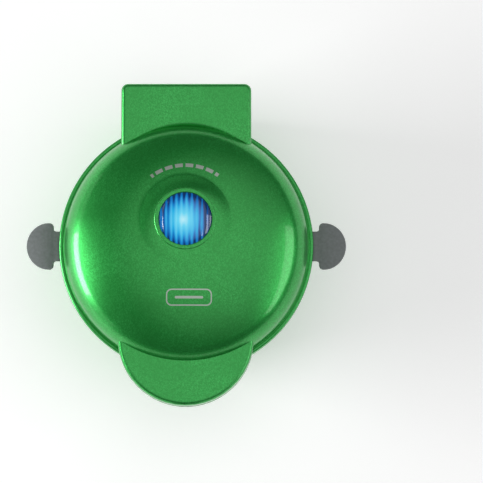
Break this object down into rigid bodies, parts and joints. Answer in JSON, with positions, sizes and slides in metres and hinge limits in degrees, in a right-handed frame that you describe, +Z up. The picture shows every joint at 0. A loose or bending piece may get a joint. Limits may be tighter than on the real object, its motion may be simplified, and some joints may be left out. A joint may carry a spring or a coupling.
{
  "type": "electric donut maker",
  "caption": "Small round countertop ring-cake maker: domed hinged lid with a ribbed pilot light and a front handle, over a heated bowl that holds a silicone ring mould with lifting tabs.",
  "frame": {"origin": "on the table, under the middle of the box round the closed appliance, which is also the bowl's axis", "axes": "+Z up, -Y towards the handle and the user, +Y towards the hinge, +X along the hinge"},
  "size_m": [0.161, 0.1624, 0.0866],
  "materials": {
    "green_cover": "metallic green mica-filled plastic, satin gloss",
    "green_base": "metallic green mica-filled plastic, satin gloss",
    "silicone": "matt grey moulded silicone",
    "cast_aluminium": "cast aluminium with dark non-stick coating",
    "element_sheath": "bright steel sheath, lightly heat-tinted",
    "zinc_steel": "zinc-plated pressed steel",
    "reflector_steel": "bright aluminised sheet steel",
    "pin_steel": "ground steel pin",
    "blue_lens": "clear blue ribbed polycarbonate",
    "lamp": "clear lamp envelope",
    "black_plastic": "matt black heat-resistant plastic",
    "white_plastic": "off-white heat-resistant plastic",
    "black_rubber": "matt black rubber",
    "lead_sleeve": "woven glass-fibre sleeve",
    "bakelite": "brown-black phenolic"
  },
  "bodies": {
    "base": {"base_housing": "green_base", "base_bottom_cover": "black_plastic", "feet": "black_rubber", "bottom_cover_screws": "zinc_steel", "ring_mould": "silicone", "lower_cup": "cast_aluminium", "lower_heating_element": "element_sheath", "lower_element_clamps": "zinc_steel", "lower_reflector": "reflector_steel", "lower_spacers": "zinc_steel", "lower_plate_screws": "zinc_steel", "thermostat": "bakelite", "thermal_fuse": "white_plastic", "terminal_block": "white_plastic", "lower_leads": "lead_sleeve", "cord_gland": "black_rubber", "hinge_pins": "pin_steel"},
    "lid": {"lid_cover": "green_cover", "indicator_lens": "blue_lens", "lens_gasket": "black_rubber", "lens_retainer": "black_plastic", "lamp_holder": "white_plastic", "indicator_lamp": "lamp", "upper_plate": "cast_aluminium", "upper_plate_screws": "zinc_steel", "upper_heating_element": "element_sheath", "upper_element_clamps": "zinc_steel", "upper_reflector": "reflector_steel", "upper_spacers": "zinc_steel", "upper_reflector_screws": "zinc_steel", "upper_thermal_fuse": "white_plastic", "upper_leads": "lead_sleeve"}
  },
  "joints": [
    {"name": "lid_hinge", "type": "hinge", "parent": "base", "child": "lid", "pos_m": [0, 0.07, 0.052], "axis": [-1, 0, 0], "range_deg": [0, 100]}
  ]
}
